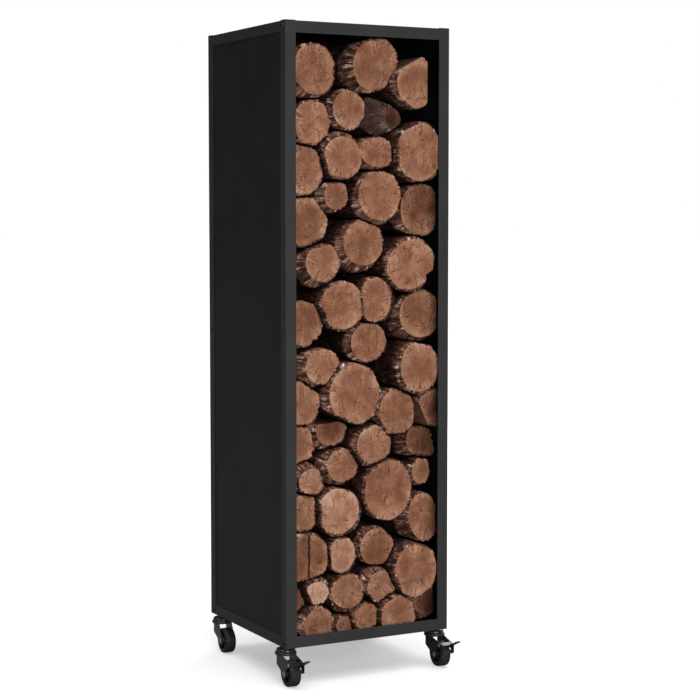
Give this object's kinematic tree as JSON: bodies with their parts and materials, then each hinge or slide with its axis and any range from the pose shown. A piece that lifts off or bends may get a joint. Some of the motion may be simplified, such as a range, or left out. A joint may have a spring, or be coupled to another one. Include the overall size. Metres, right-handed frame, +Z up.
{
  "type": "firewood log rack",
  "caption": "Tall open-fronted steel log rack on swivel casters, with brakes on the front pair, bolted sheet sides, back, roof and floor, holding a stack of cut round logs",
  "frame": {"origin": "on the floor under the middle of the 350 by 350 mm frame", "axes": "+X to the right seen from the open front, +Y to the back, +Z up"},
  "size_m": [0.367, 0.3999, 1.24],
  "materials": {
    "frame_black": "satin black powder coat on welded angle",
    "sheet_black": "satin black powder coat on thin sheet",
    "bolt_black": "blackened button-head bolts",
    "caster_black": "semi-gloss black coated pressed steel",
    "zinc": "bright zinc plate",
    "ball_steel": "polished steel balls",
    "wheel_plastic": "black moulded plastic",
    "tyre_rubber": "black rubber tread",
    "log_wood": "air-dried round logs with rough bark and sawn ends"
  },
  "bodies": {
    "rack": {"post_front_left": "frame_black", "post_rear_left": "frame_black", "post_front_right": "frame_black", "post_rear_right": "frame_black", "rail_top_front": "frame_black", "rail_bottom_front": "frame_black", "rail_top_rear": "frame_black", "rail_bottom_rear": "frame_black", "rail_top_left": "frame_black", "rail_bottom_left": "frame_black", "rail_top_right": "frame_black", "rail_bottom_right": "frame_black", "sheet_left": "sheet_black", "sheet_right": "sheet_black", "sheet_back": "sheet_black", "sheet_roof": "sheet_black", "sheet_floor": "sheet_black", "side_bolts": "bolt_black", "side_nuts": "zinc", "caster_stems": "zinc", "caster_nuts": "zinc", "caster_races": "caster_black", "caster_balls": "ball_steel", "logs_row_01": "log_wood", "logs_row_02": "log_wood", "logs_row_03": "log_wood", "logs_row_04": "log_wood", "logs_row_05": "log_wood", "logs_row_06": "log_wood", "logs_row_07": "log_wood", "logs_row_08": "log_wood", "logs_row_09": "log_wood", "logs_row_10": "log_wood", "logs_row_11": "log_wood", "logs_row_12": "log_wood", "logs_row_13": "log_wood"},
    "swivel_front_left": {"fork_front_left": "caster_black", "axle_front_left": "zinc", "brake_pin_front_left": "zinc"},
    "roller_front_left": {"wheel_front_left": "wheel_plastic", "tyre_front_left": "tyre_rubber"},
    "brake_front_left": {"brake_pedal_front_left": "caster_black", "brake_pad_front_left": "tyre_rubber"},
    "swivel_front_right": {"fork_front_right": "caster_black", "axle_front_right": "zinc", "brake_pin_front_right": "zinc"},
    "roller_front_right": {"wheel_front_right": "wheel_plastic", "tyre_front_right": "tyre_rubber"},
    "brake_front_right": {"brake_pedal_front_right": "caster_black", "brake_pad_front_right": "tyre_rubber"},
    "swivel_rear_left": {"fork_rear_left": "caster_black", "axle_rear_left": "zinc"},
    "roller_rear_left": {"wheel_rear_left": "wheel_plastic", "tyre_rear_left": "tyre_rubber"},
    "swivel_rear_right": {"fork_rear_right": "caster_black", "axle_rear_right": "zinc"},
    "roller_rear_right": {"wheel_rear_right": "wheel_plastic", "tyre_rear_right": "tyre_rubber"},
    "log_top_middle": {"log_top_middle": "log_wood"},
    "log_top_right": {"log_top_right": "log_wood"}
  },
  "joints": [
    {"name": "front_left_swivel", "type": "hinge", "parent": "rack", "child": "swivel_front_left", "pos_m": [-0.163, -0.147, 0.0623], "axis": [0, 0, 1], "continuous": true},
    {"name": "front_left_roll", "type": "hinge", "parent": "swivel_front_left", "child": "roller_front_left", "pos_m": [-0.163, -0.169, 0.025], "axis": [1, 0, 0], "continuous": true},
    {"name": "front_left_brake", "type": "hinge", "parent": "swivel_front_left", "child": "brake_front_left", "pos_m": [-0.163, -0.188, 0.0455], "axis": [1, 0, 0], "range_deg": [0, 10]},
    {"name": "front_right_swivel", "type": "hinge", "parent": "rack", "child": "swivel_front_right", "pos_m": [0.163, -0.147, 0.0623], "axis": [0, 0, 1], "continuous": true},
    {"name": "front_right_roll", "type": "hinge", "parent": "swivel_front_right", "child": "roller_front_right", "pos_m": [0.163, -0.169, 0.025], "axis": [1, 0, 0], "continuous": true},
    {"name": "front_right_brake", "type": "hinge", "parent": "swivel_front_right", "child": "brake_front_right", "pos_m": [0.163, -0.188, 0.0455], "axis": [1, 0, 0], "range_deg": [0, 10]},
    {"name": "rear_left_swivel", "type": "hinge", "parent": "rack", "child": "swivel_rear_left", "pos_m": [-0.163, 0.147, 0.0623], "axis": [0, 0, 1], "continuous": true},
    {"name": "rear_left_roll", "type": "hinge", "parent": "swivel_rear_left", "child": "roller_rear_left", "pos_m": [-0.163, 0.125, 0.025], "axis": [1, 0, 0], "continuous": true},
    {"name": "rear_right_swivel", "type": "hinge", "parent": "rack", "child": "swivel_rear_right", "pos_m": [0.163, 0.147, 0.0623], "axis": [0, 0, 1], "continuous": true},
    {"name": "rear_right_roll", "type": "hinge", "parent": "swivel_rear_right", "child": "roller_rear_right", "pos_m": [0.163, 0.125, 0.025], "axis": [1, 0, 0], "continuous": true},
    {"name": "log_top_middle_draw", "type": "slide", "parent": "rack", "child": "log_top_middle", "axis": [0, -1, 0], "range_m": [0, 0.32]},
    {"name": "log_top_right_draw", "type": "slide", "parent": "rack", "child": "log_top_right", "axis": [0, -1, 0], "range_m": [0, 0.32]}
  ]
}
